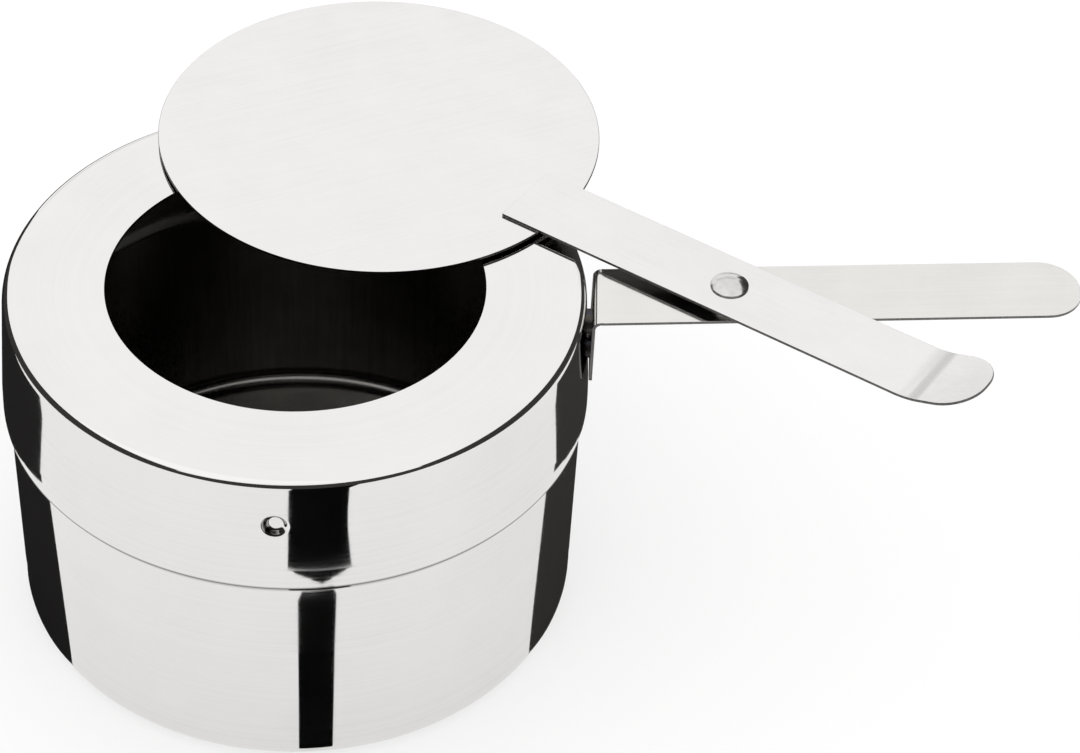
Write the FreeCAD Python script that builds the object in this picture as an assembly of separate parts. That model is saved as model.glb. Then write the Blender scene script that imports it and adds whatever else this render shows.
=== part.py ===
import FreeCAD, Part
import math
import os

# Fuel holder for a chafing dish: a deep drawn cup, a drawn cover that lifts off it,
# a strip handle welded to the cover and a snuffer lever that turns on a rivet.
# Origin: centre of the cup's flat base. +Z up, +X along the handle. Millimetres.

# Sheet and strip stock
SHEET = 0.6
STRIP = 0.5

# Cup: wall, stepped-in neck and rim
CUP_BASE_RADIUS = 45.1
CUP_SEAM_RADIUS = 45.67
CUP_CORNER = 3.4
CUP_NECK_RADIUS = 44.0
CUP_STEP_BOTTOM = 39.2
CUP_STEP_TOP = 43.0
CUP_STEP_BEND = 2.0

# Cover: flat ring, flared skirt with a curved-in lower edge, pressed dimples
COVER_TOP = 60.7
MOUTH_RADIUS = 29.7
SHOULDER_RADIUS = 45.4
SHOULDER_BEND = 1.35
CREASE_RADIUS = 46.5
CREASE_HEIGHT = 44.0
CREASE_BEND = 1.5
BULGE_RADIUS = 46.58
BULGE_HEIGHT = 42.1
BULGE_BEND = 6.0
EDGE_RADIUS = 46.15
EDGE_HEIGHT = 40.1
DIMPLE_COUNT = 3
DIMPLE_FIRST_ANGLE = -95.0
DIMPLE_HEIGHT = 52.6
DIMPLE_DEPTH = 0.9
DIMPLE_BALL = 3.0

# Handle: strip a little to one side of the pot's centre line, with a tab bent down flat on the skirt
HANDLE_OFFSET = -4.3
HANDLE_WIDTH = 13.0
HANDLE_TOP = 60.6
HANDLE_TIP = 123.5
HANDLE_TIP_CORNER = 6.1
TAB_FACE = 46.35
TAB_BOTTOM = 47.8
TAB_BEND = 1.5
TAB_CORNER = 1.5
WELD_DIAMETER = 4.0
WELD_HEIGHTS = (50.4, 55.4)

# Pivot rivet on the handle's middle line, and the spacer that holds the lever clear of the handle
PIVOT_REACH = 67.5
RIVET_SHANK = 4.0
RIVET_HOLE = 4.1
RIVET_HEAD_DIAMETER = 6.0
RIVET_HEAD_SIDE = 0.45
RIVET_HEAD_HEIGHT = 1.1
RIVET_TAIL_DIAMETER = 5.6
RIVET_TAIL_HEIGHT = 1.0
SPACER_DIAMETER = 8.0
SPACER_THICKNESS = 1.15
PLAY = 0.05

# Snuffer: flat lever, disc and the half-open angle that it rests at
LEVER_WIDTH = 13.0
LEVER_ARM = 67.4
LEVER_END = 38.6
THUMB_BEND_PLACE = 35.0
THUMB_BEND = 14.0
THUMB_ANGLE = 18.0
THUMB_LENGTH = 10.6
THUMB_CORNER = 6.0
DISC_RADIUS = 36.2
DISC_THICKNESS = 0.5
OPEN_ANGLE = 38.0

# Heights and the tab's bearing that follow from the sizes above
RIM_HEIGHT = COVER_TOP - SHEET
HANDLE_BOTTOM = HANDLE_TOP - STRIP
SPACER_TOP = HANDLE_TOP + SPACER_THICKNESS
LEVER_BOTTOM = SPACER_TOP + PLAY
LEVER_TOP = LEVER_BOTTOM + STRIP
DISC_BOTTOM = LEVER_BOTTOM - DISC_THICKNESS
TAB_BEARING = math.degrees(math.asin(HANDLE_OFFSET / TAB_FACE))

ORIGIN = FreeCAD.Vector(0, 0, 0)
UP = FreeCAD.Vector(0, 0, 1)
OUTWARD = FreeCAD.Vector(1, 0, 0)
PIVOT = FreeCAD.Vector(PIVOT_REACH, HANDLE_OFFSET, 0)


def section_point(across, height):
    """A point of a section that is drawn in the XZ plane."""
    return FreeCAD.Vector(across, 0, height)


def rounded_path(points, radii):
    """Edges of an open path whose inner corners are rounded; radii has one entry per inner corner."""
    edges = []
    start = points[0]
    for before, corner, after, radius in zip(points, points[1:], points[2:], radii):
        incoming = (corner - before).normalize()
        outgoing = (after - corner).normalize()
        turn = incoming.getAngle(outgoing)
        setback = radius * math.tan(turn / 2)
        arc_start = corner - incoming * setback
        arc_end = corner + outgoing * setback
        inward = (outgoing - incoming).normalize()
        arc_middle = corner + inward * (radius / math.cos(turn / 2) - radius)
        edges.append(Part.LineSegment(start, arc_start).toShape())
        edges.append(Part.Arc(arc_start, arc_middle, arc_end).toShape())
        start = arc_end
    edges.append(Part.LineSegment(start, points[-1]).toShape())
    return edges


def right_of(direction):
    """The direction to the right of a direction in the XZ plane."""
    return FreeCAD.Vector(direction.z, 0, -direction.x)


def offset_path(points, radii, distance):
    """The parallel path at a distance to the right, with the radii that keep the walls even."""
    directions = [(b - a).normalize() for a, b in zip(points, points[1:])]
    moved = [points[0] + right_of(directions[0]) * distance]
    moved_radii = []
    for corner, incoming, outgoing, radius in zip(points[1:], directions, directions[1:], radii):
        half_turn = incoming.getAngle(outgoing) / 2
        normal = (right_of(incoming) + right_of(outgoing)).normalize()
        moved.append(corner + normal * (distance / math.cos(half_turn)))
        turns_right = right_of(incoming).dot(outgoing) > 0
        moved_radii.append(radius - distance if turns_right else radius + distance)
    moved.append(points[-1] + right_of(directions[-1]) * distance)
    return moved, moved_radii


def sheet_section(points, radii, thickness):
    """The face of a bent sheet: one side follows the path, the other lies to its right."""
    other_points, other_radii = offset_path(points, radii, thickness)
    edges = rounded_path(points, radii)
    edges.append(Part.LineSegment(points[-1], other_points[-1]).toShape())
    edges += rounded_path(other_points[::-1], other_radii[::-1])
    edges.append(Part.LineSegment(other_points[0], points[0]).toShape())
    return Part.Face(Part.Wire(Part.__sortEdges__(edges)))


def turned(face):
    """A face of the XZ plane turned once round the Z axis."""
    return face.revolve(ORIGIN, UP, 360)


def cylinder(diameter, bottom, top, centre=ORIGIN):
    """An upright cylinder round a centre."""
    return Part.makeCylinder(diameter / 2, top - bottom, centre + UP * bottom, UP)


def bent_sheet(points, radii, width):
    """A strip along X whose section is a bent sheet."""
    section = sheet_section(points, radii, STRIP)
    section.translate(FreeCAD.Vector(0, -width / 2, 0))
    return section.extrude(FreeCAD.Vector(0, width, 0))


def trimmed(sheet, width, middle, tip, tip_corner):
    """Cuts a bent sheet to a width along X, with a far end that is rounded in plan."""
    room = sheet.optimalBoundingBox()
    corner = FreeCAD.Vector(room.XMin, middle - width / 2, room.ZMin)
    plan = Part.makeBox(tip - room.XMin, width, room.ZLength, corner)
    tip_edges = [e for e in plan.Edges if e.BoundBox.XMin > tip - PLAY and e.tangentAt(0).z]
    return sheet.common(plan.makeFillet(tip_corner, tip_edges))


def fuel_cup():
    """Deep drawn cup: flat base, slightly flared wall, a step in and an upright neck."""
    path = [
        section_point(0, 0),
        section_point(CUP_BASE_RADIUS, 0),
        section_point(CUP_SEAM_RADIUS, CUP_STEP_BOTTOM),
        section_point(CUP_NECK_RADIUS, CUP_STEP_TOP),
        section_point(CUP_NECK_RADIUS, RIM_HEIGHT),
    ]
    radii = [CUP_CORNER, CUP_STEP_BEND, CUP_STEP_BEND]
    path.reverse()
    radii.reverse()
    return turned(sheet_section(path, radii, SHEET))


def cover_path():
    """The outer line of the cover, from the mouth to the skirt's lower edge."""
    points = [
        section_point(MOUTH_RADIUS, COVER_TOP),
        section_point(SHOULDER_RADIUS, COVER_TOP),
        section_point(CREASE_RADIUS, CREASE_HEIGHT),
        section_point(BULGE_RADIUS, BULGE_HEIGHT),
        section_point(EDGE_RADIUS, EDGE_HEIGHT),
    ]
    radii = [SHOULDER_BEND, CREASE_BEND, BULGE_BEND]
    return points, radii


def skirt_radius(height):
    """Outer radius of the skirt between its shoulder and its crease."""
    share = (COVER_TOP - height) / (COVER_TOP - CREASE_HEIGHT)
    return SHOULDER_RADIUS + share * (CREASE_RADIUS - SHOULDER_RADIUS)


def cover_core():
    """Everything inside the skirt's outer face, as one plain solid."""
    height = COVER_TOP - CREASE_HEIGHT
    return Part.makeCone(CREASE_RADIUS, SHOULDER_RADIUS, height, section_point(0, CREASE_HEIGHT), UP)


def ball_cap(radius, ball_place, cut_place):
    """The side of a ball that faces the Z axis, cut off flat at a distance from that axis."""
    latitude = math.degrees(math.asin((cut_place - ball_place.x) / radius))
    return Part.makeSphere(radius, ball_place, OUTWARD, -90, latitude, 360)


def cover_collar():
    """Drawn cover: ring with the mouth, rounded shoulder, flared skirt and inward dimples."""
    points, radii = cover_path()
    cover = turned(sheet_section(points, radii, SHEET))
    skin = skirt_radius(DIMPLE_HEIGHT)
    ball_place = section_point(skin + DIMPLE_BALL - DIMPLE_DEPTH, DIMPLE_HEIGHT)
    for index in range(DIMPLE_COUNT):
        angle = DIMPLE_FIRST_ANGLE + index * 360 / DIMPLE_COUNT
        back = ball_cap(DIMPLE_BALL + SHEET, ball_place, skin - SHEET / 2)
        hollow = ball_cap(DIMPLE_BALL, ball_place, skin + SHEET)
        back.rotate(ORIGIN, UP, angle)
        hollow.rotate(ORIGIN, UP, angle)
        cover = cover.fuse(back).cut(hollow)
    return cover.removeSplitter()


def handle():
    """Strip handle: round tip, pivot hole, and a tab bent down flat against the skirt."""
    path = [
        section_point(TAB_FACE, TAB_BOTTOM),
        section_point(TAB_FACE, HANDLE_TOP),
        section_point(HANDLE_TIP + HANDLE_WIDTH, HANDLE_TOP),
    ]
    sheet = bent_sheet(path, [TAB_BEND], 3 * HANDLE_WIDTH)
    sheet.rotate(ORIGIN, UP, TAB_BEARING)
    blank = trimmed(sheet, HANDLE_WIDTH, HANDLE_OFFSET, HANDLE_TIP, HANDLE_TIP_CORNER)
    low_edges = [e for e in blank.Edges if e.BoundBox.ZMax < TAB_BOTTOM + PLAY]
    low_corners = [e for e in low_edges if e.BoundBox.YLength < PLAY]
    blank = blank.makeFillet(TAB_CORNER, low_corners)
    return blank.cut(cylinder(RIVET_HOLE, TAB_BOTTOM, SPACER_TOP, PIVOT))


def handle_weld_nuggets():
    """Two spot welds that fill the gap between the flat tab and the round skirt."""
    nuggets = []
    core = cover_core()
    for height in WELD_HEIGHTS:
        start = section_point(skirt_radius(height) - SHEET, height)
        length = TAB_FACE - start.x
        nugget = Part.makeCylinder(WELD_DIAMETER / 2, length, start, OUTWARD).cut(core)
        nugget.rotate(ORIGIN, UP, TAB_BEARING)
        nuggets.append(nugget)
    return Part.makeCompound(nuggets)


def pivot_rivet():
    """Rivet: low domed head on the lever, shank, and a set tail under the handle."""
    head_bottom = LEVER_TOP + PLAY
    head_radius = RIVET_HEAD_DIAMETER / 2
    dome_edge = section_point(head_radius, head_bottom + RIVET_HEAD_SIDE)
    dome_top = section_point(0, head_bottom + RIVET_HEAD_HEIGHT)
    dome_height = RIVET_HEAD_HEIGHT - RIVET_HEAD_SIDE
    dome_radius = (head_radius ** 2 + dome_height ** 2) / (2 * dome_height)
    half_angle = math.asin(head_radius / dome_radius) / 2
    dome_middle = section_point(
        dome_radius * math.sin(half_angle),
        dome_top.z - dome_radius * (1 - math.cos(half_angle)),
    )
    edges = [
        Part.LineSegment(section_point(0, head_bottom), section_point(head_radius, head_bottom)).toShape(),
        Part.LineSegment(section_point(head_radius, head_bottom), dome_edge).toShape(),
        Part.Arc(dome_edge, dome_middle, dome_top).toShape(),
        Part.LineSegment(dome_top, section_point(0, head_bottom)).toShape(),
    ]
    head = turned(Part.Face(Part.Wire(edges)))
    shank = cylinder(RIVET_SHANK, HANDLE_BOTTOM - RIVET_TAIL_HEIGHT / 2, head_bottom)
    tail = cylinder(RIVET_TAIL_DIAMETER, HANDLE_BOTTOM - RIVET_TAIL_HEIGHT, HANDLE_BOTTOM)
    low_edges = [e for e in tail.Edges if e.BoundBox.ZMax < HANDLE_BOTTOM - PLAY]
    tail = tail.makeFillet(RIVET_TAIL_HEIGHT / 2, low_edges)
    rivet = head.fuse(shank).fuse(tail).removeSplitter()
    rivet.translate(PIVOT)
    return rivet


def spacer_washer():
    """Thick washer that holds the lever clear of the handle and of the cover's ring."""
    ring = cylinder(SPACER_DIAMETER, HANDLE_TOP, SPACER_TOP, PIVOT)
    return ring.cut(cylinder(RIVET_HOLE, HANDLE_TOP, SPACER_TOP, PIVOT))


def swung_open(shape):
    """Moves a snuffer piece, drawn with the rivet at the origin, to its half-open rest place."""
    shape.rotate(ORIGIN, UP, -OPEN_ANGLE)
    shape.translate(PIVOT)
    return shape


def snuffer_lever():
    """Lever: flat strip with a square end on the disc, pivot hole, and a thumb end bent upwards."""
    thumb = math.radians(THUMB_ANGLE)
    thumb_run = THUMB_LENGTH * math.cos(thumb)
    path = [
        section_point(-LEVER_END, LEVER_TOP),
        section_point(THUMB_BEND_PLACE, LEVER_TOP),
        section_point(THUMB_BEND_PLACE + thumb_run, LEVER_TOP + THUMB_LENGTH * math.sin(thumb)),
    ]
    sheet = bent_sheet(path, [THUMB_BEND], LEVER_WIDTH)
    strip = trimmed(sheet, LEVER_WIDTH, 0, sheet.optimalBoundingBox().XMax, THUMB_CORNER)
    return swung_open(strip.cut(cylinder(RIVET_HOLE, HANDLE_TOP, LEVER_TOP + STRIP)))


def snuffer_disc():
    """Flat round snuffer plate under the lever's square end."""
    return swung_open(cylinder(2 * DISC_RADIUS, DISC_BOTTOM, LEVER_BOTTOM, section_point(-LEVER_ARM, 0)))


PIECES = {
    "fuel_cup": fuel_cup,
    "cover_collar": cover_collar,
    "handle": handle,
    "handle_weld_nuggets": handle_weld_nuggets,
    "pivot_rivet": pivot_rivet,
    "spacer_washer": spacer_washer,
    "snuffer_lever": snuffer_lever,
    "snuffer_disc": snuffer_disc,
}

os.makedirs("parts", exist_ok=True)
for name, make in PIECES.items():
    shape = make()
    shape.exportStep("parts/" + name + ".step")
    size = shape.optimalBoundingBox()
    print(name, len(shape.Solids), shape.isValid(), round(shape.Volume, 1),
          [round(v, 2) for v in (size.XMin, size.XMax, size.YMin, size.YMax, size.ZMin, size.ZMax)])
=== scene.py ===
"""Looks of a chafing-dish fuel holder: polished cup and cover, strip handle and swinging snuffer."""

import logging
import math
from dataclasses import dataclass
from enum import Enum
from typing import Iterable, Sequence, Union

import bmesh
import bpy
from bmesh.types import BMEdge, BMesh, BMVert
from bpy.types import Material, Node, NodeSocket, NodeTree, Object
from mathutils import Matrix, Vector


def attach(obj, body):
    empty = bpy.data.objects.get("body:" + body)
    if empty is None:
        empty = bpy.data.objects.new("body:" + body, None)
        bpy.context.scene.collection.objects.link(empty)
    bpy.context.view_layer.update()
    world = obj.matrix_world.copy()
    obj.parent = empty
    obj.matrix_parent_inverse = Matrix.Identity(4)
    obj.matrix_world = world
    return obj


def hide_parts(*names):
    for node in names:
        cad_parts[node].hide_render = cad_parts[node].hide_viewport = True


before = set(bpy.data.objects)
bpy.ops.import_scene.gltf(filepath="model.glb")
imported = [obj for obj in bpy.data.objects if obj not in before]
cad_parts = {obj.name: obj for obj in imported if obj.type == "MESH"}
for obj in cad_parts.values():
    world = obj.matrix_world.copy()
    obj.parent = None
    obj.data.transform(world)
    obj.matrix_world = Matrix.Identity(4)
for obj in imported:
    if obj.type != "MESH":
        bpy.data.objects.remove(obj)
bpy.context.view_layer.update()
LOG = logging.getLogger("fuel_holder")

MM = 0.001
UP = Vector((0, 0, 1))
# Vertex attribute of the painted shade on the far side of each dimple
DIMPLE_SHADE = "dimple_shade"
# Sheet of the two drawn shells, strip of the handle and lever, in mm
SHEET = 0.6
STRIP = 0.5
# Place of the rivet in plan, in mm
PIVOT = (67.5, -4.3)

Value = Union[float, Sequence[float], NodeSocket]


class Body(Enum):
    """The bodies that pieces ride on."""

    CUP = "cup"
    COVER = "cover"
    SNUFFER = "snuffer"


class Slot(Enum):
    """The record's material slots."""

    POT = "pot_steel"
    STRIP = "strip_steel"
    RIVET = "rivet_steel"


def linear(colour: str) -> tuple[float, float, float, float]:
    """Turns an sRGB hex colour into linear light.

    Args:
        colour: six hex digits.

    Returns:
        The linear red, green, blue and an alpha of 1.
    """
    shares = [int(colour[i:i + 2], 16) / 255 for i in (0, 2, 4)]
    red, green, blue = [s / 12.92 if s <= 0.04045 else ((s + 0.055) / 1.055) ** 2.4 for s in shares]
    return red, green, blue, 1.0


def feed(tree: NodeTree, node: Node, inputs: dict[str, Value]) -> None:
    """Feeds a node's sockets with constants or links.

    Args:
        tree: the tree that holds the node.
        node: the node.
        inputs: socket name or number, given as text, with its constant or the socket that feeds it.
    """
    for name, value in inputs.items():
        socket = node.inputs[int(name)] if name.isdigit() else node.inputs[name]
        if isinstance(value, NodeSocket):
            tree.links.new(value, socket)
        else:
            socket.default_value = value


def add_node(tree: NodeTree, kind: str, inputs: dict[str, Value],
             **settings: object) -> Node:
    """Adds a node, sets its options and feeds its sockets.

    Args:
        tree: the tree that gets the node.
        kind: the node's type name.
        inputs: what its sockets get, as in feed.
        settings: options of the node itself.

    Returns:
        The new node.
    """
    node = tree.nodes.new(kind)
    for name, setting in settings.items():
        setattr(node, name, setting)
    feed(tree, node, inputs)
    return node


@dataclass(frozen=True)
class Finish:
    """What every finish has: a name that says what the material is, and a tree of its own."""

    name: str

    def material(self) -> Material:
        """Makes the material once and gives the same one afterwards.

        Returns:
            The finished material.
        """
        made = bpy.data.materials.get(self.name)
        if made is None:
            made = bpy.data.materials.new(self.name)
            made.use_nodes = True
            self.draw(made.node_tree, made.node_tree.nodes["Principled BSDF"])
        return made

    def draw(self, tree: NodeTree, shader: Node) -> None:
        """Fills in the tree; each finish has its own.

        Args:
            tree: the material's node tree.
            shader: its principled shader.
        """
        raise NotImplementedError

    @staticmethod
    def place(tree: NodeTree) -> NodeSocket:
        """The place on the piece, in metres of the shared frame."""
        return tree.nodes.new("ShaderNodeTexCoord").outputs["Object"]

    @staticmethod
    def shade(tree: NodeTree, pattern: NodeSocket, rise: tuple[float, float],
              low: Value, high: Value) -> NodeSocket:
        """Goes from one colour to another as a pattern rises.

        Args:
            tree: the material's node tree.
            pattern: the pattern's value.
            rise: the values between which the colour changes.
            low: the first colour or the socket that gives it.
            high: the second colour.

        Returns:
            The colour.
        """
        share = add_node(tree, "ShaderNodeMapRange", {
            "Value": pattern, "From Min": rise[0], "From Max": rise[1]})
        return add_node(tree, "ShaderNodeMix", {
            "Factor": share.outputs[0], "6": low, "7": high}, data_type="RGBA").outputs[2]


@dataclass(frozen=True)
class PolishedSheet(Finish):
    """Buffed stainless sheet: clear reflections, broken a little by buffing rings and a slight wave."""

    colour: str = "E3E2E1"
    worn_colour: str = "DEDDDC"
    roughness: tuple[float, float] = (0.03, 0.08)
    # Real buffing rings lie about 0.1 mm apart; they are drawn at 0.6 mm so that a picture can hold them
    ring_mm: float = 0.6
    cloud_mm: float = 14.0
    wave_mm: float = 16.0
    wave_height_mm: float = 0.006
    # Heights in mm between which painted shade sets in at the seam, darkening the sheet to the seam colour
    seam: tuple[float, float] = (38.7, 39.5)
    seam_shade_colour: str = "4B4947"
    # Painted shade on the far side of a dimple's sloping rim
    dimple_shade_colour: str = "1C1B1B"

    def draw(self, tree: NodeTree, shader: Node) -> None:
        """Draws buffing rings, soft clouds of wear, painted shade at the seam and on the dimples' far sides,
        and the wave of a drawn sheet.

        Args:
            tree: the material's node tree.
            shader: its principled shader.
        """
        place = self.place(tree)
        level = add_node(tree, "ShaderNodeVectorMath", {"0": place, "1": (1, 1, 0)}, operation="MULTIPLY")
        reach = add_node(tree, "ShaderNodeVectorMath", {"0": level.outputs[0]}, operation="LENGTH")
        parts = add_node(tree, "ShaderNodeSeparateXYZ", {"Vector": place})
        section = add_node(tree, "ShaderNodeCombineXYZ", {
            "X": reach.outputs["Value"], "Y": parts.outputs["Z"]})
        rings = add_node(tree, "ShaderNodeTexNoise", {
            "Vector": section.outputs[0], "Scale": 1 / (self.ring_mm * MM), "Detail": 3.0, "Roughness": 0.6})
        clouds = add_node(tree, "ShaderNodeTexNoise", {
            "Vector": place, "Scale": 1 / (self.cloud_mm * MM), "Detail": 4.0, "Roughness": 0.55})
        both = add_node(tree, "ShaderNodeMath", {"0": rings.outputs["Fac"], "1": clouds.outputs["Fac"]},
                        operation="MULTIPLY")
        rough = add_node(tree, "ShaderNodeMapRange", {
            "Value": both.outputs[0], "From Min": 0.15, "From Max": 0.4,
            "To Min": self.roughness[0], "To Max": self.roughness[1]})
        tone = self.shade(tree, both.outputs[0], (0.15, 0.45),
                          linear(self.colour), linear(self.worn_colour))
        wave = add_node(tree, "ShaderNodeTexNoise", {
            "Vector": place, "Scale": 1 / (self.wave_mm * MM), "Detail": 0.0})
        bump = add_node(tree, "ShaderNodeBump", {
            "Height": wave.outputs["Fac"], "Strength": 1.0, "Distance": self.wave_height_mm * MM})
        # Painted shade: the sheet darkens towards the seam line between cover and cup
        seam_shade_heights = (self.seam[0] * MM, self.seam[1] * MM)
        seam_shaded = self.shade(tree, parts.outputs["Z"], seam_shade_heights, tone, linear(self.seam_shade_colour))
        # Painted shade on the dimples' far sides, read from the vertex attribute
        dimple_shade = add_node(tree, "ShaderNodeAttribute", {}, attribute_name=DIMPLE_SHADE)
        dull = self.shade(tree, dimple_shade.outputs["Fac"], (0.0, 1.0), seam_shaded, linear(self.dimple_shade_colour))
        feed(tree, shader, {
            "Base Color": dull, "Metallic": 1.0,
            "Roughness": rough.outputs[0], "Normal": bump.outputs[0]})


@dataclass(frozen=True)
class DrawnInside(Finish):
    """Unpolished inside of a drawn shell: dark, dull metal with draw lines, and at a step a pale ring that
    is scuffing and a painted highlight.
    """

    colour: str = "747270"
    light_colour: str = "8A8884"
    line_mm: float = 0.8
    cloud_mm: float = 11.0
    roughness: tuple[float, float] = (0.17, 0.24)
    # Middle height and half height of the pale ring of scuffing and painted highlight, in mm; there is none
    # where the half is 0
    scuffed_and_highlit: tuple[float, float] = (0.0, 0.0)
    scuffed_and_highlit_colour: str = "F4F3F1"
    scuffed_and_highlit_roughness: float = 1.0
    scuffed_and_highlit_mark_mm: float = 1.6

    def mark_scuffs_and_highlight(self, tree: NodeTree) -> NodeSocket:
        """Draws the pale ring at the step: scuffing marks, painted pale as a highlight.

        Args:
            tree: the material's node tree.

        Returns:
            The share of the pale ring, scuffing and painted highlight.
        """
        middle, half = self.scuffed_and_highlit
        place = self.place(tree)
        parts = add_node(tree, "ShaderNodeSeparateXYZ", {"Vector": place})
        off = add_node(tree, "ShaderNodeMath", {
            "0": parts.outputs["Z"], "1": middle * MM}, operation="SUBTRACT")
        away = add_node(tree, "ShaderNodeMath", {"0": off.outputs[0]}, operation="ABSOLUTE")
        band = add_node(tree, "ShaderNodeMapRange", {
            "Value": away.outputs[0], "From Min": half * MM, "From Max": half / 2 * MM})
        flat = add_node(tree, "ShaderNodeMapping", {"Vector": place, "Scale": (0.06, 0.06, 1.0)})
        rings = add_node(tree, "ShaderNodeTexNoise", {
            "Vector": flat.outputs[0], "Scale": 1 / (self.scuffed_and_highlit_mark_mm * MM), "Detail": 2.0})
        marks = add_node(tree, "ShaderNodeMapRange", {
            "Value": rings.outputs["Fac"], "From Min": 0.4, "From Max": 0.54})
        return add_node(tree, "ShaderNodeMath", {
            "0": band.outputs[0], "1": marks.outputs[0]}, operation="MULTIPLY").outputs[0]

    def draw(self, tree: NodeTree, shader: Node) -> None:
        """Draws upright draw lines, uneven dark clouds and any pale ring of scuffing and painted highlight.

        Args:
            tree: the material's node tree.
            shader: its principled shader.
        """
        place = self.place(tree)
        upright = add_node(tree, "ShaderNodeMapping", {"Vector": place, "Scale": (1.0, 1.0, 0.04)})
        lines = add_node(tree, "ShaderNodeTexNoise", {
            "Vector": upright.outputs[0], "Scale": 1 / (self.line_mm * MM), "Detail": 3.0})
        clouds = add_node(tree, "ShaderNodeTexNoise", {
            "Vector": place, "Scale": 1 / (self.cloud_mm * MM), "Detail": 5.0, "Roughness": 0.6})
        tone = self.shade(tree, clouds.outputs["Fac"], (0.35, 0.7),
                          linear(self.colour), linear(self.light_colour))
        rough = add_node(tree, "ShaderNodeMapRange", {
            "Value": lines.outputs["Fac"], "From Min": 0.3, "From Max": 0.7,
            "To Min": self.roughness[0], "To Max": self.roughness[1]})
        bump = add_node(tree, "ShaderNodeBump", {
            "Height": lines.outputs["Fac"], "Strength": 0.15, "Distance": 0.02 * MM})
        roughness = rough.outputs[0]
        # The pale ring is scuffing, and its pale colour is a painted highlight
        if self.scuffed_and_highlit[1]:
            share = self.mark_scuffs_and_highlight(tree)
            tone = self.shade(tree, share, (0.0, 1.0), tone, linear(self.scuffed_and_highlit_colour))
            roughness = add_node(tree, "ShaderNodeMix", {
                "Factor": share, "2": roughness, "3": self.scuffed_and_highlit_roughness}).outputs[0]
        feed(tree, shader, {
            "Base Color": tone, "Metallic": 1.0, "Roughness": roughness, "Normal": bump.outputs[0]})


@dataclass(frozen=True)
class RolledStrip(Finish):
    """Bright rolled stainless strip: a soft satin sheen with faint grain along the rolling direction."""

    # Rolling direction in plan, degrees from +X
    grain_angle: float = 0.0
    colour: str = "E3E2E1"
    worn_colour: str = "E0DFDE"
    roughness: tuple[float, float] = (0.1, 0.17)
    # Real grain is about 0.05 mm wide; it is drawn at 0.35 mm so that a picture can hold it
    grain_mm: float = 0.35
    cloud_mm: float = 9.0

    def draw(self, tree: NodeTree, shader: Node) -> None:
        """Draws long thin grain lines and soft handling clouds.

        Args:
            tree: the material's node tree.
            shader: its principled shader.
        """
        place = self.place(tree)
        turned = add_node(tree, "ShaderNodeMapping", {
            "Vector": place, "Rotation": (0, 0, math.radians(-self.grain_angle))})
        along = add_node(tree, "ShaderNodeMapping", {"Vector": turned.outputs[0], "Scale": (0.02, 1, 1)})
        grain = add_node(tree, "ShaderNodeTexNoise", {
            "Vector": along.outputs[0], "Scale": 1 / (self.grain_mm * MM), "Detail": 3.0, "Roughness": 0.6})
        clouds = add_node(tree, "ShaderNodeTexNoise", {
            "Vector": place, "Scale": 1 / (self.cloud_mm * MM), "Detail": 4.0, "Roughness": 0.6})
        both = add_node(tree, "ShaderNodeMath", {"0": grain.outputs["Fac"], "1": clouds.outputs["Fac"]},
                        operation="MULTIPLY")
        rough = add_node(tree, "ShaderNodeMapRange", {
            "Value": both.outputs[0], "From Min": 0.15, "From Max": 0.4,
            "To Min": self.roughness[0], "To Max": self.roughness[1]})
        tone = self.shade(tree, both.outputs[0], (0.14, 0.42),
                          linear(self.colour), linear(self.worn_colour))
        bump = add_node(tree, "ShaderNodeBump", {
            "Height": grain.outputs["Fac"], "Strength": 0.15, "Distance": 0.004 * MM})
        feed(tree, shader, {
            "Base Color": tone, "Metallic": 1.0,
            "Roughness": rough.outputs[0], "Normal": bump.outputs[0]})


@dataclass(frozen=True)
class ShearedEdge(Finish):
    """Cut edge of a sheet: darker, dull and finely torn across its thickness."""

    colour: str = "5C5B59"
    bright_colour: str = "777573"
    tear_mm: float = 0.3
    roughness: float = 0.34

    def draw(self, tree: NodeTree, shader: Node) -> None:
        """Draws fine upright tear marks.

        Args:
            tree: the material's node tree.
            shader: its principled shader.
        """
        place = self.place(tree)
        upright = add_node(tree, "ShaderNodeMapping", {"Vector": place, "Scale": (1.0, 1.0, 0.2)})
        tears = add_node(tree, "ShaderNodeTexNoise", {
            "Vector": upright.outputs[0], "Scale": 1 / (self.tear_mm * MM), "Detail": 3.0})
        tone = self.shade(tree, tears.outputs["Fac"], (0.35, 0.7),
                          linear(self.colour), linear(self.bright_colour))
        bump = add_node(tree, "ShaderNodeBump", {
            "Height": tears.outputs["Fac"], "Strength": 0.4, "Distance": 0.02 * MM})
        feed(tree, shader, {
            "Base Color": tone, "Metallic": 1.0, "Roughness": self.roughness,
            "Normal": bump.outputs[0]})


CUT_EDGE = ShearedEdge("sheared_steel_edge")


@dataclass(frozen=True)
class FormedRivet(Finish):
    """Cold-formed bright steel: smooth dome with faint forming marks."""

    colour: str = "D3D2D0"
    dark_colour: str = "C8C6C4"
    roughness: tuple[float, float] = (0.14, 0.22)
    mark_mm: float = 0.9

    def draw(self, tree: NodeTree, shader: Node) -> None:
        """Draws small uneven forming marks.

        Args:
            tree: the material's node tree.
            shader: its principled shader.
        """
        place = self.place(tree)
        marks = add_node(tree, "ShaderNodeTexNoise", {
            "Vector": place, "Scale": 1 / (self.mark_mm * MM), "Detail": 4.0, "Roughness": 0.6})
        rough = add_node(tree, "ShaderNodeMapRange", {
            "Value": marks.outputs["Fac"], "From Min": 0.3, "From Max": 0.7,
            "To Min": self.roughness[0], "To Max": self.roughness[1]})
        tone = self.shade(tree, marks.outputs["Fac"], (0.35, 0.75),
                          linear(self.colour), linear(self.dark_colour))
        bump = add_node(tree, "ShaderNodeBump", {
            "Height": marks.outputs["Fac"], "Strength": 0.2, "Distance": 0.006 * MM})
        feed(tree, shader, {
            "Base Color": tone, "Metallic": 1.0,
            "Roughness": rough.outputs[0], "Normal": bump.outputs[0]})


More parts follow.
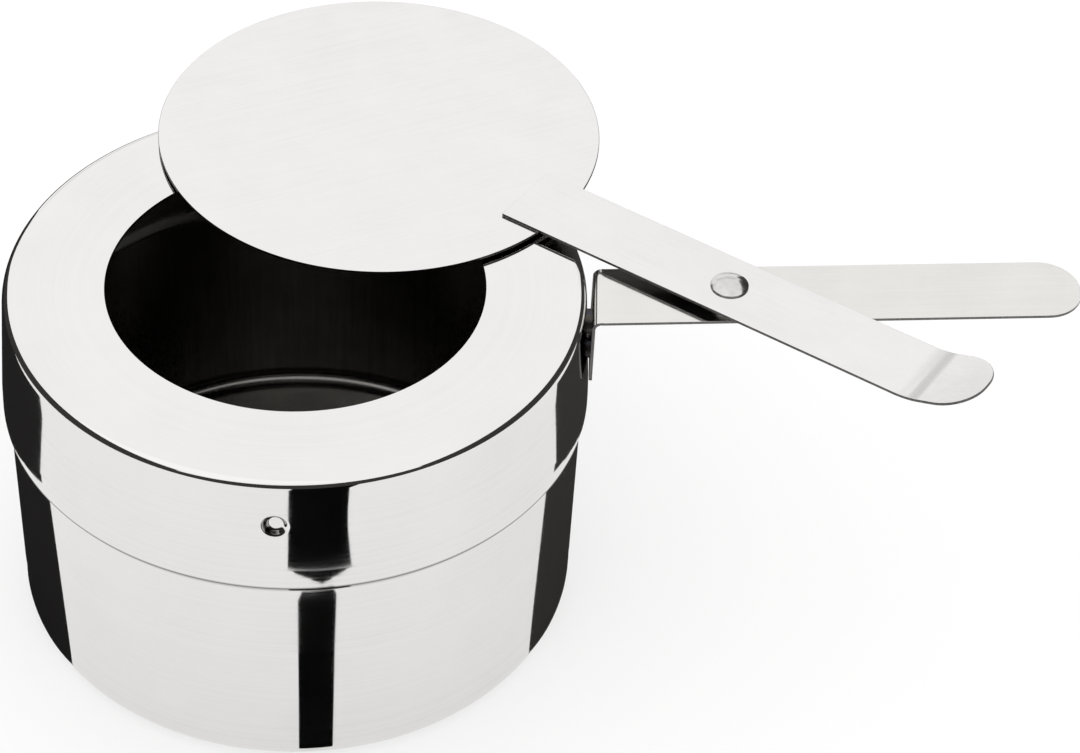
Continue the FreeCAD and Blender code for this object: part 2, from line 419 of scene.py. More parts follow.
@dataclass(frozen=True)
class SpotWeld(Finish):
    """Spot weld metal: dull, pitted, with a straw and blue heat tint."""

    colour: str = "6F675C"
    tint_colour: str = "565A66"
    pit_mm: float = 0.7
    roughness: float = 0.5

    def draw(self, tree: NodeTree, shader: Node) -> None:
        """Draws pits and uneven heat tint.

        Args:
            tree: the material's node tree.
            shader: its principled shader.
        """
        place = self.place(tree)
        pits = add_node(tree, "ShaderNodeTexNoise", {
            "Vector": place, "Scale": 1 / (self.pit_mm * MM), "Detail": 4.0, "Roughness": 0.65})
        tone = self.shade(tree, pits.outputs["Fac"], (0.35, 0.65),
                          linear(self.colour), linear(self.tint_colour))
        bump = add_node(tree, "ShaderNodeBump", {
            "Height": pits.outputs["Fac"], "Strength": 0.6, "Distance": 0.06 * MM})
        feed(tree, shader, {
            "Base Color": tone, "Metallic": 1.0, "Roughness": self.roughness,
            "Normal": bump.outputs[0]})


@dataclass(frozen=True)
class StudioPaper(Finish):
    """Matt white paper of the studio floor."""

    colour: str = "A8A8A8"
    glow: float = 0.6
    fibre_mm: float = 3.0

    def draw(self, tree: NodeTree, shader: Node) -> None:
        """Draws the faint fibre of white paper, lit through from below.

        Args:
            tree: the material's node tree.
            shader: its principled shader.
        """
        fibre = add_node(tree, "ShaderNodeTexNoise", {
            "Vector": self.place(tree), "Scale": 1 / (self.fibre_mm * MM), "Detail": 2.0})
        bump = add_node(tree, "ShaderNodeBump", {
            "Height": fibre.outputs["Fac"], "Strength": 0.05, "Distance": 0.02 * MM})
        feed(tree, shader, {
            "Base Color": linear(self.colour), "Roughness": 0.9, "Specular IOR Level": 0.0,
            "Emission Color": (1, 1, 1, 1), "Emission Strength": self.glow, "Normal": bump.outputs[0]})


@dataclass(frozen=True)
class BlackFlag(Finish):
    """Black velvet of a studio flag, which polished metal mirrors as a dark band."""

    colour: str = "060606"

    def draw(self, tree: NodeTree, shader: Node) -> None:
        """Sets a matt black with no sheen.

        Args:
            tree: the material's node tree.
            shader: its principled shader.
        """
        feed(tree, shader, {
            "Base Color": linear(self.colour), "Roughness": 1.0, "Specular IOR Level": 0.0})


CHARCOAL = BlackFlag("charcoal_flag", "3A3837")


@dataclass(frozen=True)
class FadingFlag(Finish):
    """Grey gauze of a studio flag that thins out upwards, so that its mirror image has one soft edge."""

    colour: str = "D9D9D9"
    thin_colour: str = "FFFFFF"
    # Heights in mm between which it thins out
    rise: tuple[float, float] = (620.0, 900.0)

    def draw(self, tree: NodeTree, shader: Node) -> None:
        """Draws the fade along the height.

        Args:
            tree: the material's node tree.
            shader: its principled shader.
        """
        parts = add_node(tree, "ShaderNodeSeparateXYZ", {"Vector": self.place(tree)})
        rise = (self.rise[0] * MM, self.rise[1] * MM)
        tone = self.shade(tree, parts.outputs["Z"], rise, linear(self.colour), linear(self.thin_colour))
        feed(tree, shader, {"Base Color": tone, "Roughness": 1.0, "Specular IOR Level": 0.0})


@dataclass(frozen=True)
class Corner:
    """A corner of a section: distance from the axis or along X, height, and the bend's radius, in mm."""

    across: float
    height: float
    bend: float = 0.0

    @property
    def point(self) -> Vector:
        """The corner in the XZ plane, in metres."""
        return Vector((self.across, 0, self.height)) * MM


@dataclass(frozen=True)
class Run:
    """A straight run of a strip, in mm."""

    length: float


@dataclass(frozen=True)
class Fold:
    """A bend of a strip: the radius of its upper face in mm, and how far it turns up, in radians."""

    radius: float
    angle: float


def corner_turn(before: Vector, corner: Vector, after: Vector) -> float:
    """How far a path turns at a corner, in radians."""
    return (corner - before).angle(after - corner)


def section_wire(bm: BMesh, corners: Sequence[Corner],
                 closed: bool = False) -> list[BMVert]:
    """Draws a section in the XZ plane and rounds its bends.

    Args:
        bm: the mesh that gets the wire.
        corners: the corners in order.
        closed: whether the last corner joins the first.

    Returns:
        The corners' vertices; those that were rounded are no longer valid.
    """
    verts = [bm.verts.new(c.point) for c in corners]
    points = [c.point for c in corners]
    for first, second in zip(verts, verts[1:]):
        bm.edges.new((first, second))
    if closed:
        bm.edges.new((verts[-1], verts[0]))
    count = len(corners)
    for index, corner in enumerate(corners):
        if corner.bend:
            turn = corner_turn(points[index - 1], points[index], points[(index + 1) % count])
            bmesh.ops.bevel(bm, geom=[verts[index]], offset=corner.bend * MM * math.tan(turn / 2),
                            offset_type="OFFSET", segments=max(3, round(math.degrees(turn) / 6)),
                            profile=0.5, affect="VERTICES", material=-1)
    return verts


def spin_round(bm: BMesh, steps: int) -> None:
    """Turns a wire once round the Z axis and closes it.

    Args:
        bm: the mesh that holds only the wire.
        steps: how many steps the turn takes.
    """
    bmesh.ops.spin(bm, geom=bm.verts[:] + bm.edges[:], cent=(0, 0, 0), axis=UP, angle=math.tau,
                   steps=steps, use_merge=True)
    bmesh.ops.remove_doubles(bm, verts=bm.verts[:], dist=1e-6)
    bmesh.ops.recalc_face_normals(bm, faces=bm.faces[:])


def face_up(bm: BMesh) -> None:
    """Turns the faces of a flat level sheet upwards."""
    bm.normal_update()
    bmesh.ops.reverse_faces(bm, faces=[face for face in bm.faces if face.normal.z < 0])


def make_object(bm: BMesh, name: str, finishes: Sequence[Finish]) -> Object:
    """Turns a mesh into an object of the scene with smooth faces.

    Args:
        bm: the mesh, which is freed.
        name: the object's name.
        finishes: the finishes of its material slots.

    Returns:
        The object.
    """
    mesh = bpy.data.meshes.new(name)
    bm.to_mesh(mesh)
    bm.free()
    mesh.shade_smooth()
    for finish in finishes:
        mesh.materials.append(finish.material())
    obj = bpy.data.objects.new(name, mesh)
    bpy.context.scene.collection.objects.link(obj)
    return obj


def thicken(obj: Object, thickness: float, inside: int, edge: int) -> None:
    """Gives a sheet its thickness on the side that its normals point away from.

    Args:
        obj: the sheet.
        thickness: in mm.
        inside: how many slots on from the outside the inside's finish is.
        edge: how many slots on the cut edge's finish is.
    """
    wall = obj.modifiers.new("wall", "SOLIDIFY")
    wall.thickness = thickness * MM
    wall.offset = -1
    wall.use_even_offset = True
    wall.material_offset = inside
    wall.material_offset_rim = edge


def ease_edges(obj: Object, width: float) -> None:
    """Rounds the sharp edges of a piece.

    Args:
        obj: the piece.
        width: in mm.
    """
    ease = obj.modifiers.new("eased_edges", "BEVEL")
    ease.width = width * MM
    ease.segments = 3
    ease.limit_method = "ANGLE"
    ease.angle_limit = math.radians(50)
    ease.harden_normals = True


def seat(obj: Object, node: str, body: Body) -> None:
    """Lets a piece stand for a node and ride on its body.

    Args:
        obj: the piece.
        node: the node that it stands for.
        body: the body that it rides on.
    """
    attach(obj, body.value)
    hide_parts(node)
    LOG.info("%s stands for %s on %s", obj.name, node, body.value)


@dataclass
class Cup:
    """The deep drawn cup: flat base, slightly flared wall, a step in and an upright neck, in mm."""

    base_radius: float = 45.1
    corner: float = 3.4
    seam_radius: float = 45.67
    step_bottom: float = 39.2
    step_top: float = 43.0
    step_bend: float = 2.0
    neck_radius: float = 44.0
    rim: float = 60.1
    # Middle height and half height of the pale ring at the step, where fuel cans leave scuffing, also
    # painted pale as a highlight
    scuffed_and_highlit: tuple[float, float] = (41.4, 2.6)
    steps: int = 200
    edge: float = 0.12

    def build(self) -> None:
        """Turns the cup's outer line and gives it a wall."""
        bm = bmesh.new()
        section_wire(bm, (
            Corner(0, 0),
            Corner(self.base_radius, 0, self.corner),
            Corner(self.seam_radius, self.step_bottom, self.step_bend),
            Corner(self.neck_radius, self.step_top, self.step_bend),
            Corner(self.neck_radius, self.rim)))
        spin_round(bm, self.steps)
        self.dress(bm)

    def dress(self, bm: BMesh) -> None:
        """Gives the cup its wall and finishes.

        Args:
            bm: the turned outer line.
        """
        polished = PolishedSheet("mirror_polished_cup")
        inside = DrawnInside("drawn_steel_scuffed_and_highlit", scuffed_and_highlit=self.scuffed_and_highlit)
        obj = make_object(bm, "cup_shell", (polished, inside, CUT_EDGE))
        thicken(obj, SHEET, 1, 2)
        ease_edges(obj, self.edge)
        seat(obj, "fuel_cup", Body.CUP)


@dataclass
class Cover:
    """The drawn cover: ring, rounded shoulder, flared skirt with dimples, a soft crease and a lip, in mm."""

    top: float = 60.7
    mouth_radius: float = 29.7
    shoulder_radius: float = 45.4
    shoulder_bend: float = 1.35
    crease_radius: float = 46.46
    crease_height: float = 44.0
    crease_bend: float = 1.5
    bulge_radius: float = 46.525
    bulge_height: float = 42.05
    bulge_bend: float = 45.0
    edge_radius: float = 46.545
    edge_height: float = 40.1
    dimple_angles: tuple[float, ...] = (-95.0, 25.0, 145.0)
    dimple_height: float = 52.6
    dimple_depth: float = 0.8
    dimple_radius: float = 2.1
    # Radius of a dimple's flat bottom
    dimple_flat: float = 1.0
    # Which side of a dimple stays free of painted shade: share sideways, share upwards, and how far round
    lit_side: tuple[float, float] = (0.8, 0.4)
    lit_reach: float = 0.6
    # Heights between which painted shade sets in at the seam
    seam: tuple[float, float] = (40.5, 40.1)
    # The mesh is fine within this distance of a dimple's centre and coarse elsewhere
    fine_reach: float = 2.8
    fine_steps: int = 50
    coarse_steps: int = 60
    edge: float = 0.12

    def skirt_radius(self, height: float) -> float:
        """Outer radius of the skirt at a height between shoulder and crease."""
        share = (self.top - height) / (self.top - self.crease_height)
        return self.shoulder_radius + share * (self.crease_radius - self.shoulder_radius)

    def build(self) -> None:
        """Turns the cover's outer line, presses the dimples and gives it a wall."""
        bm = bmesh.new()
        high = self.dimple_height + self.fine_reach
        low = self.dimple_height - self.fine_reach
        verts = section_wire(bm, (
            Corner(self.mouth_radius, self.top),
            Corner(self.shoulder_radius, self.top, self.shoulder_bend),
            Corner(self.skirt_radius(high), high),
            Corner(self.skirt_radius(low), low),
            Corner(self.crease_radius, self.crease_height, self.crease_bend),
            Corner(self.bulge_radius, self.bulge_height, self.bulge_bend),
            Corner(self.edge_radius, self.edge_height)))
        fine_edge = bm.edges.get((verts[2], verts[3]))
        bmesh.ops.subdivide_edges(bm, edges=[fine_edge], cuts=self.fine_steps - 1)
        self.spin(bm)
        for angle in self.dimple_angles:
            self.press(bm, math.radians(angle))
        self.dress(bm)

    def spin(self, bm: BMesh) -> None:
        """Turns the wire round the axis, in fine steps at the dimples and coarse ones between them.

        Args:
            bm: the mesh that holds only the wire.
        """
        fine = 2 * self.fine_reach / self.skirt_radius(self.dimple_height)
        coarse = math.tau / len(self.dimple_angles) - fine
        start = Matrix.Rotation(math.radians(self.dimple_angles[0]) - fine / 2, 3, "Z")
        bmesh.ops.rotate(bm, verts=bm.verts[:], cent=(0, 0, 0), matrix=start)
        geom = bm.verts[:] + bm.edges[:]
        for _ in self.dimple_angles:
            for angle, steps in ((fine, self.fine_steps), (coarse, self.coarse_steps)):
                turned = bmesh.ops.spin(bm, geom=geom, cent=(0, 0, 0), axis=UP, angle=angle, steps=steps)
                geom = turned["geom_last"]
        bmesh.ops.remove_doubles(bm, verts=bm.verts[:], dist=1e-6)
        bmesh.ops.recalc_face_normals(bm, faces=bm.faces[:])

    def press(self, bm: BMesh, angle: float) -> None:
        """Presses one round dimple inwards and marks painted shade on the far side of its rim.

        Args:
            bm: the turned skirt.
            angle: the dimple's bearing in radians.
        """
        dimple_shade = bm.verts.layers.float.get(DIMPLE_SHADE) or bm.verts.layers.float.new(DIMPLE_SHADE)
        outward = Vector((math.cos(angle), math.sin(angle), 0))
        lit_way = UP.cross(outward) * self.lit_side[0] + UP * self.lit_side[1]
        centre = (outward * self.skirt_radius(self.dimple_height) + UP * self.dimple_height) * MM
        for vert in bm.verts:
            away = vert.co - centre
            across = away - outward * away.dot(outward)
            off = across.length / MM
            if away.dot(outward) > -self.fine_reach * MM and off < self.fine_reach:
                # Paints shade on the rim's far side, away from the lit side
                lean = across.normalized().dot(lit_way)
                vert[dimple_shade] = self.rim(off) * min(max(self.lit_reach - lean, 0.0), 1.0)
                vert.co -= outward * self.sink(off) * MM

    def share(self, off: float) -> float:
        """How far across a dimple's sloping rim a distance from its middle lies, 0 to 1."""
        share = (off - self.dimple_flat) / (self.dimple_radius - self.dimple_flat)
        return min(max(share, 0.0), 1.0)

    def sink(self, off: float) -> float:
        """How deep a dimple is, in mm, at a distance from its middle."""
        share = self.share(off)
        return self.dimple_depth * (1 - share * share * (3 - 2 * share))

    def rim(self, off: float) -> float:
        """How steep a dimple's rim is at a distance from its middle, 0 to 1."""
        share = self.share(off)
        return 4 * share * (1 - share)

    def dress(self, bm: BMesh) -> None:
        """Gives the cover its wall and finishes.

        Args:
            bm: the turned and pressed outer line.
        """
        polished = PolishedSheet("mirror_polished_cover", seam=self.seam)
        finishes = (polished, DrawnInside("unpolished_drawn_steel"), CUT_EDGE)
        obj = make_object(bm, "cover_shell", finishes)
        thicken(obj, SHEET, 1, 2)
        ease_edges(obj, self.edge)
        seat(obj, "cover_collar", Body.COVER)


@dataclass
class Strip:
    """A strip that grows out of a flat panel by runs and bends of its upper face."""

    # Flat panel in plan, in mm: corners, the radius of each, and the rivet hole's centre
    corners: tuple[tuple[float, float], ...]
    rounding: tuple[float, ...]
    level: float
    hole: tuple[float, float]
    hole_diameter: float = 4.1
    steps: int = 12
    # A short flat on both sides of a bend keeps the flat faces evenly lit
    margin: float = 0.3
    edge: float = 0.1

    def __post_init__(self) -> None:
        """Cuts the flat panel with its rounded corners and its hole."""
        self.bm = bmesh.new()
        verts = [self.bm.verts.new(Vector((x, y, self.level)) * MM) for x, y in self.corners]
        count = len(verts)
        self.sides = [self.bm.edges.new((verts[i], verts[(i + 1) % count])) for i in range(count)]
        self.round_corners(zip(verts, self.rounding))
        place = Matrix.Translation(Vector((*self.hole, self.level)) * MM)
        bmesh.ops.create_circle(self.bm, cap_ends=False, segments=48,
                                radius=self.hole_diameter / 2 * MM, matrix=place)
        bmesh.ops.triangle_fill(self.bm, use_beauty=True, edges=self.bm.edges[:], normal=UP)

    def round_corners(self, corners: Iterable[tuple[BMVert, float]]) -> None:
        """Rounds corners of the strip's outline.

        Args:
            corners: vertices with the radius of each in mm.
        """
        for vert, radius in corners:
            if radius:
                bmesh.ops.bevel(self.bm, geom=[vert], offset=radius * MM, offset_type="OFFSET", segments=16,
                                profile=0.5, affect="VERTICES", material=-1)

    def push(self, edge: BMEdge, move: Vector) -> BMEdge:
        """Extrudes an end edge.

        Args:
            edge: the strip's end edge.
            move: how far, in metres.

        Returns:
            The new end edge.
        """
        made = bmesh.ops.extrude_edge_only(self.bm, edges=[edge])["geom"]
        verts = [item for item in made if isinstance(item, BMVert)]
        bmesh.ops.translate(self.bm, verts=verts, vec=move)
        return self.bm.edges.get(verts)

    def grow(self, edge: BMEdge, forward: Vector, moves: Sequence[Union[Run, Fold]],
             rounding: float) -> None:
        """Grows one end of the strip.

        Args:
            edge: the panel's edge that it starts from.
            forward: the direction that it starts in.
            moves: the runs and bends in order.
            rounding: the radius of its end corners in mm.
        """
        heading = forward.normalized()
        above = UP.copy()
        edge = self.push(edge, heading * self.margin * MM)
        for index, move in enumerate(moves):
            if isinstance(move, Run):
                edge = self.push(edge, heading * self.margin * MM)
                if index < len(moves) - 1:
                    edge = self.push(edge, heading * (move.length - 2 * self.margin) * MM)
                    edge = self.push(edge, heading * self.margin * MM)
                else:
                    edge = self.push(edge, heading * (move.length - self.margin) * MM)
                continue
            middle = (edge.verts[0].co + edge.verts[1].co) / 2
            centre = middle + above * math.copysign(move.radius * MM, move.angle)
            axis = heading.cross(above)
            turned = bmesh.ops.spin(self.bm, geom=[edge, *edge.verts], cent=centre, axis=axis,
                                    angle=move.angle, steps=self.steps)
            edge = next(item for item in turned["geom_last"] if isinstance(item, BMEdge))
            turn = Matrix.Rotation(move.angle, 3, axis)
            heading = turn @ heading
            above = turn @ above
        self.round_corners([(vert, rounding) for vert in edge.verts[:]])

    def finish(self, name: str, finishes: Sequence[Finish], place: Matrix) -> Object:
        """Places the strip and gives it its thickness.

        Args:
            name: the object's name.
            finishes: finishes of the faces and of the cut edge.
            place: where the strip goes.

        Returns:
            The strip.
        """
        bmesh.ops.remove_doubles(self.bm, verts=self.bm.verts[:], dist=1e-7)
        bmesh.ops.recalc_face_normals(self.bm, faces=self.bm.faces[:])
        if sum(face.normal.z * face.calc_area() for face in self.bm.faces) < 0:
            bmesh.ops.reverse_faces(self.bm, faces=self.bm.faces[:])
        bmesh.ops.transform(self.bm, matrix=place, verts=self.bm.verts[:])
        obj = make_object(self.bm, name, finishes)
        thicken(obj, STRIP, 0, 1)
        ease_edges(obj, self.edge)
        return obj


@dataclass
class Handle:
    """The strip handle: round tip, rivet hole, and a tab bent down flat against the skirt, in mm."""

    offset: float = -4.3
    width: float = 13.0
    top: float = 60.6
    tip: float = 123.495
    tip_corner: float = 6.1
    tab_face: float = 46.35
    tab_bottom: float = 47.8
    tab_bend: float = 1.5
    tab_corner: float = 1.5

    def build(self) -> None:
        """Cuts the handle, bends its tab down square to the skirt and dresses it."""
        bearing = math.asin(self.offset / self.tab_face)
        outward = Vector((math.cos(bearing), math.sin(bearing), 0))
        sides = (self.offset - self.width / 2, self.offset + self.width / 2)
        reach = self.tab_face + self.tab_bend + Strip.margin
        near = [(reach - outward.y * side) / outward.x for side in sides]
        corners = ((near[0], sides[0]), (self.tip, sides[0]), (self.tip, sides[1]), (near[1], sides[1]))
        strip = Strip(corners, (0, self.tip_corner, self.tip_corner, 0), self.top, PIVOT)
        drop = self.top - self.tab_bend - self.tab_bottom
        strip.grow(strip.sides[3], -outward, (Fold(self.tab_bend, -math.pi / 2), Run(drop)), self.tab_corner)
        rolled = RolledStrip("rolled_stainless_handle", colour="DDDCD9", worn_colour="D9D8D5")
        obj = strip.finish("handle_strip", (rolled, CUT_EDGE), Matrix.Identity(4))
        seat(obj, "handle", Body.COVER)


@dataclass
class Snuffer:
    """The lever and the disc, drawn along X from the rivet and swung to their rest place, in mm."""

    open_angle: float = -38.0
    lever_top: float = 62.3
    lever_width: float = 13.0
    lever_end: float = 38.6
    thumb_place: float = 35.0
    thumb_bend: float = 14.0
    thumb_angle: float = 18.0
    thumb_length: float = 10.6
    thumb_corner: float = 6.0
    disc_arm: float = 67.4
    disc_radius: float = 36.195
    disc_thickness: float = 0.5
    disc_top: float = 61.8
    disc_segments: int = 220
    disc_edge: float = 0.1
    # Rolling direction of the disc at rest, degrees from +X
    disc_grain: float = 20.0

    @property
    def rest(self) -> Matrix:
        """The move from the rivet's own place to the half-open rest place."""
        turn = Matrix.Rotation(math.radians(self.open_angle), 4, "Z")
        return Matrix.Translation((PIVOT[0] * MM, PIVOT[1] * MM, 0)) @ turn

    def build(self) -> None:
        """Builds and dresses both pieces."""
        self.build_lever()
        self.build_disc()

    def build_lever(self) -> None:
        """Cuts the flat lever, bends its thumb end up and dresses it."""
        half = self.lever_width / 2
        thumb = math.radians(self.thumb_angle)
        thumb_ease = self.thumb_bend * math.tan(thumb / 2)
        high = self.thumb_place - thumb_ease - Strip.margin
        corners = ((-self.lever_end, -half), (high, -half), (high, half), (-self.lever_end, half))
        strip = Strip(corners, (0, 0, 0, 0), self.lever_top, (0.0, 0.0))
        moves = (Fold(self.thumb_bend, thumb), Run(self.thumb_length - thumb_ease))
        strip.grow(strip.sides[1], Vector((1, 0, 0)), moves, self.thumb_corner)
        rolled = RolledStrip("rolled_stainless_lever", self.open_angle)
        obj = strip.finish("lever_strip", (rolled, CUT_EDGE), self.rest)
        seat(obj, "snuffer_lever", Body.SNUFFER)

    def build_disc(self) -> None:
        """Cuts the disc."""
        bm = bmesh.new()
        place = self.rest @ Matrix.Translation((-self.disc_arm * MM, 0, self.disc_top * MM))
        bmesh.ops.create_circle(bm, cap_ends=True, segments=self.disc_segments,
                                radius=self.disc_radius * MM, matrix=place)
        face_up(bm)
        rolled = RolledStrip("rolled_stainless_disc", self.disc_grain, roughness=(0.08, 0.13))
        obj = make_object(bm, "disc_plate", (rolled, CUT_EDGE))
        thicken(obj, self.disc_thickness, 0, 1)
        ease_edges(obj, self.disc_edge)
        seat(obj, "snuffer_disc", Body.SNUFFER)


@dataclass
class Pivot:
    """The rivet and the spacer between lever and handle, in mm."""

    head_bottom: float = 62.35
    head_radius: float = 3.0
    head_side: float = 0.2
    head_height: float = 1.1
    dome_steps: int = 10
    shank_radius: float = 2.0
    tail_radius: float = 2.8
    tail_top: float = 60.1
    tail_height: float = 1.0
    tail_bend: float = 0.45
    spacer_radius: float = 4.0
    spacer_bore: float = 2.05
    spacer_bottom: float = 60.6
    spacer_top: float = 61.75
    edge: float = 0.1
    steps: int = 64

    def build(self) -> None:
        """Builds and dresses both pieces."""
        self.build_rivet()
        self.build_spacer()

    def turn(self, corners: Sequence[Corner], name: str, closed: bool) -> Object:
        """Turns a section round the rivet's axis.

        Args:
            corners: the section, from the axis out.
            name: the object's name.
            closed: whether the section is a closed ring.

        Returns:
            The turned piece.
        """
        bm = bmesh.new()
        section_wire(bm, corners, closed)
        spin_round(bm, self.steps)
        bmesh.ops.translate(bm, verts=bm.verts[:], vec=(PIVOT[0] * MM, PIVOT[1] * MM, 0))
        return make_object(bm, name, (FormedRivet("cold_formed_rivet_steel"),))

    def build_rivet(self) -> None:
        """Turns the rivet: low dome, side, shank and set tail."""
        rise = self.head_height - self.head_side
        dome = (self.head_radius ** 2 + rise ** 2) / (2 * rise)
        reach = math.asin(self.head_radius / dome)
        top = self.head_bottom + self.head_height
        angles = [reach * i / self.dome_steps for i in range(self.dome_steps)]
        arc = [Corner(dome * math.sin(a), top - dome * (1 - math.cos(a))) for a in angles]
        low = self.tail_top - self.tail_height
        rest = (Corner(self.head_radius, self.head_bottom + self.head_side, self.edge),
                Corner(self.head_radius, self.head_bottom, self.edge),
                Corner(self.shank_radius, self.head_bottom),
                Corner(self.shank_radius, self.tail_top),
                Corner(self.tail_radius, self.tail_top, self.edge),
                Corner(self.tail_radius, low, self.tail_bend),
                Corner(0, low))
        obj = self.turn((*arc, *rest), "rivet_turned", False)
        seat(obj, "pivot_rivet", Body.COVER)

    def build_spacer(self) -> None:
        """Turns the spacer."""
        corners = (Corner(self.spacer_bore, self.spacer_bottom, self.edge),
                   Corner(self.spacer_radius, self.spacer_bottom, self.edge),
                   Corner(self.spacer_radius, self.spacer_top, self.edge),
                   Corner(self.spacer_bore, self.spacer_top, self.edge))
        obj = self.turn(corners, "spacer_ring", True)
        seat(obj, "spacer_washer", Body.COVER)


@dataclass
class Welds:
    """The spot welds between tab and skirt, which keep the CAD's own shape."""

    node: str = "handle_weld_nuggets"

    def dress(self) -> None:
        """Gives the welds their dull metal."""
        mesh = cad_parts[self.node].data
        mesh.materials.clear()
        mesh.materials.append(SpotWeld("spot_weld_metal").material())
        LOG.info("%s dressed", self.node)


@dataclass
class Studio:
    """White floor, soft light all round, dark flags that the polished metal mirrors, and the camera."""

    floor_size: float = 8.0
    sky: float = 1.13
    # Soft box above: sides and place in metres, power in watts
    box_sides: tuple[float, float] = (1.6, 1.2)
    box_place: tuple[float, float, float] = (-0.5, -0.2, 1.5)
    box_power: float = 0.5
    # Camera place and aim point in mm, roll in degrees, lens in mm on a 36 mm wide sensor
    eye: tuple[float, float, float] = (-4.07, -388.73, 390.81)
    aim: tuple[float, float, float] = (38.4, -5.5, 45.0)
    roll: float = 3.155
    lens: float = 108.73
    # The dark band round the studio, in metres, and half the gap behind the pot, in degrees
    band_radius: float = 1.3
    band_height: float = 0.45
    band_gap: float = 24.0
    # In mm: height of the flags on the floor, distance of those that stand, and their tops
    flag_lift: float = 0.2
    flag_reach: float = 700.0
    front_top: float = 640.0
    side_top: float = 800.0
    side_back: float = 1100.0
    gauze_reach: float = 1000.0
    # What the cover's lip mirrors: its radius and how far off its rays meet the floor, in mm,
    # and how far the nearness of the camera turns them, in degrees
    lip_radius: float = 46.5
    lip_reach: float = 41.5
    lip_turn: float = 6.2
    # Bearings in degrees between which the light gap on the lip tapers away
    gap_taper: tuple[float, float] = (56.6, 83.0)

    def build(self) -> None:
        """Sets floor, light, flags and camera."""
        self.set_floor()
        self.set_light()
        self.set_front_flags()
        self.set_side_flags()
        self.set_band()
        self.set_camera()

    def set_floor(self) -> None:
        """Lays the white floor."""
        bm = bmesh.new()
        bmesh.ops.create_grid(bm, x_segments=1, y_segments=1, size=self.floor_size / 2)
        make_object(bm, "studio_floor", (StudioPaper("white_studio_paper"),))

    def set_light(self) -> None:
        """Sets the even white surround and one large soft light from above."""
        world = bpy.data.worlds.new("white_surround")
        bpy.context.scene.world = world
        world.use_nodes = True
        feed(world.node_tree, world.node_tree.nodes["Background"], {
            "Color": (1, 1, 1, 1), "Strength": self.sky})
        lamp = bpy.data.lights.new("soft_box", "AREA")
        lamp.shape = "RECTANGLE"
        lamp.size, lamp.size_y = self.box_sides
        lamp.energy = self.box_power
        box = bpy.data.objects.new("soft_box", lamp)
        box.location = self.box_place
        box.rotation_euler = (-Vector(self.box_place)).to_track_quat("-Z", "Y").to_euler()
        bpy.context.scene.collection.objects.link(box)
        bpy.context.scene.view_settings.view_transform = "Standard"

    def flag(self, name: str, corners: Sequence[tuple[float, float, float]], finish: Finish) -> None:
        """Sets a flag that shows only in reflections.

        Args:
            name: the flag's name.
            corners: its corners in mm.
            finish: its cloth.
        """
        bm = bmesh.new()
        bm.faces.new([bm.verts.new(Vector(c) * MM) for c in corners])
        self.hide_flag(make_object(bm, name, (finish,)))

    def lay_flag(self, name: str, outline: Sequence[tuple[float, float]], finish: Finish) -> None:
        """Lays a flag just above the floor.

        Args:
            name: the flag's name.
            outline: its corners in plan, in mm.
            finish: its cloth.
        """
        self.flag(name, [(x, y, self.flag_lift) for x, y in outline], finish)

    @staticmethod
    def hide_flag(obj: Object) -> None:
        """Lets a flag show only in reflections, with no shadow of its own."""
        obj.visible_camera = False
        obj.visible_diffuse = False
        obj.visible_shadow = False
        obj.visible_transmission = False

    def seen_in_lip(self, side: int, width: float) -> list[tuple[float, float]]:
        """Places on the floor that the upright lip of the cover mirrors into the camera.

        Args:
            side: -1 for the left side, 1 for the right side.
            width: how far they lie outside the places that the cup mirrors, in mm, tapering to the back.

        Returns:
            The places from front to back, in mm.
        """
        start, end = self.gap_taper
        places = []
        for bearing in (start, 60, 65, 70, 75, 80, 85, 90):
            wall = math.radians(bearing)
            ray = math.radians(2 * bearing + self.lip_turn)
            reach = self.lip_reach + width * max((end - bearing) / (end - start), 0.0)
            across = self.lip_radius * math.sin(wall) + reach * math.sin(ray)
            places.append((side * across, -self.lip_radius * math.cos(wall) - reach * math.cos(ray)))
        return places

    def set_front_flags(self) -> None:
        """Lays the black flags before the pot that its front band mirrors, and sets one at the camera."""
        black = BlackFlag("black_flag")
        # In order: what the cup mirrors, what the lip mirrors, and what the skirt mirrors
        self.lay_flag("flag_front_near", (
            (4.7, -46), (10.5, -69), (14.5, -83.5), (13.2, -86.5),
            (0.2, -86.5), (-1.6, -83.5), (-1.4, -69), (-0.9, -46)), black)
        self.lay_flag("flag_front_lens", ((26.3, -95.6), (8.9, -88.2), (-8.2, -99.4)), black)
        self.lay_flag("flag_front_far", (
            (24.9, -97.3), (27.2, -110), (40.3, -145), (246, -700),
            (-33, -700), (-9.2, -152), (-7.4, -112), (-7.0, -101.2)), black)
        out = self.flag_reach
        front = ((-out, 0), (out, 0), (out, self.front_top), (-out, self.front_top))
        self.flag("flag_camera", [(x, -out, z) for x, z in front], CHARCOAL)

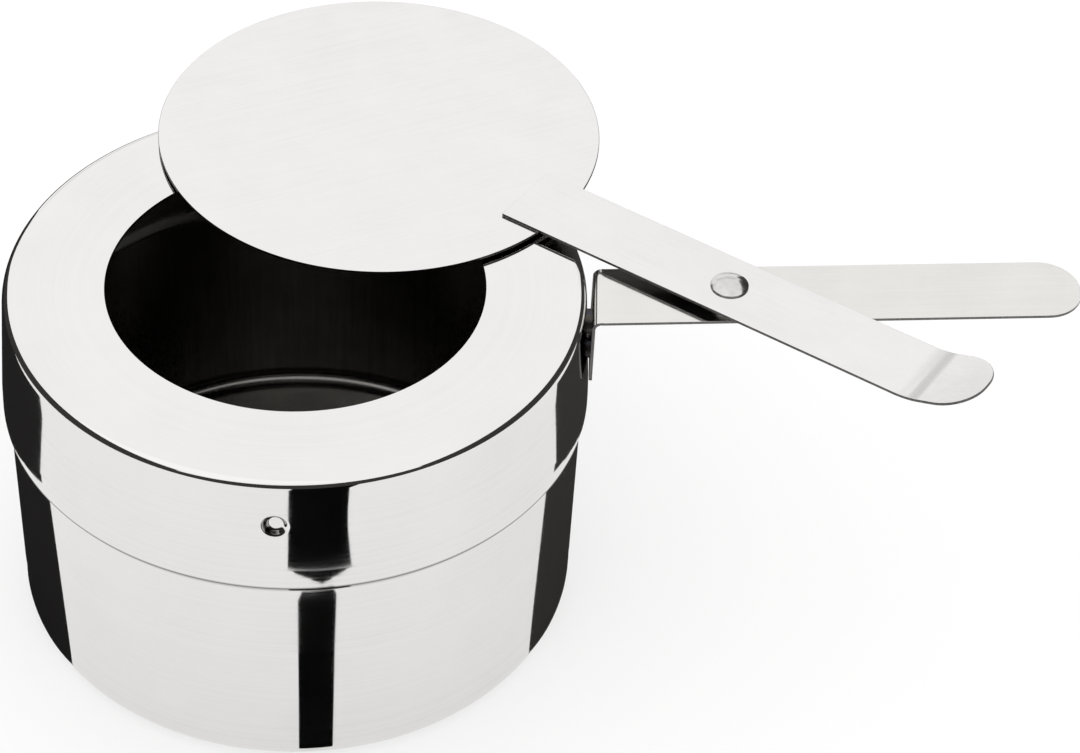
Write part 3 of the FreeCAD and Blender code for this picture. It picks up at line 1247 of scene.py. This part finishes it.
    def set_side_flags(self) -> None:
        """Sets the flags beside the pot, with a light gap for its lip, and the gauze behind it."""
        left = ((-103, 5), (-1300, 660), (-1300, 1300), (-46, 1300))
        right = ((101, 9), (1300, 692), (1300, 1300), (46, 1300))
        dark = BlackFlag("dark_flag", "232222")
        sides = ((-1, "left", left, 5.5, dark), (1, "right", right, 6.0, CHARCOAL))
        for side, name, outer, gap, cloth in sides:
            near = ((side * 38.6, -25.1), *self.seen_in_lip(side, 0.0), (side * 46, 0))
            self.lay_flag("flag_near_" + name, near, cloth)
            self.lay_flag("flag_far_" + name, (*outer, *reversed(self.seen_in_lip(side, gap))), cloth)
            x = side * self.flag_reach
            wall = ((-self.flag_reach, 0), (self.side_back, 0),
                    (self.side_back, self.side_top), (-self.flag_reach, self.side_top))
            self.flag("flag_wall_" + name, [(x, y, z) for y, z in wall], CHARCOAL)
        gauze = ((-300, 490), (500, 490), (500, 900), (235, 900), (150, 690), (-300, 690))
        self.flag("flag_thumb", [(x, self.gauze_reach, z) for x, z in gauze], FadingFlag("pale_gauze"))

    def set_band(self) -> None:
        """Sets the dark band round the studio, open behind the pot."""
        bm = bmesh.new()
        start = math.radians(90 + self.band_gap)
        foot = Vector((math.cos(start), math.sin(start), 0)) * self.band_radius
        ends = [bm.verts.new(foot + UP * z) for z in (0.0, self.band_height)]
        bm.edges.new(ends)
        sweep = math.tau - 2 * math.radians(self.band_gap)
        bmesh.ops.spin(bm, geom=bm.verts[:] + bm.edges[:], cent=(0, 0, 0), axis=UP, angle=sweep, steps=64)
        self.hide_flag(make_object(bm, "flag_band", (CHARCOAL,)))

    def set_camera(self) -> None:
        """Sets the camera to the photo's view."""
        camera = bpy.data.cameras.new("camera")
        camera.sensor_width = 36.0
        camera.sensor_fit = "HORIZONTAL"
        camera.lens = self.lens
        camera.clip_start = 0.01
        obj = bpy.data.objects.new("camera", camera)
        eye = Vector(self.eye) * MM
        look = (Vector(self.aim) * MM - eye).to_track_quat("-Z", "Y").to_matrix()
        roll = Matrix.Rotation(math.radians(self.roll), 3, "Z")
        obj.matrix_world = Matrix.Translation(eye) @ (look @ roll).to_4x4()
        bpy.context.scene.collection.objects.link(obj)
        bpy.context.scene.camera = obj


def main() -> None:
    """Builds the pieces in order and sets the studio."""
    logging.basicConfig(level=logging.INFO)
    Cup().build()
    Cover().build()
    Handle().build()
    Welds().dress()
    Pivot().build()
    Snuffer().build()
    Studio().build()


if __name__ == "__main__":
    main()
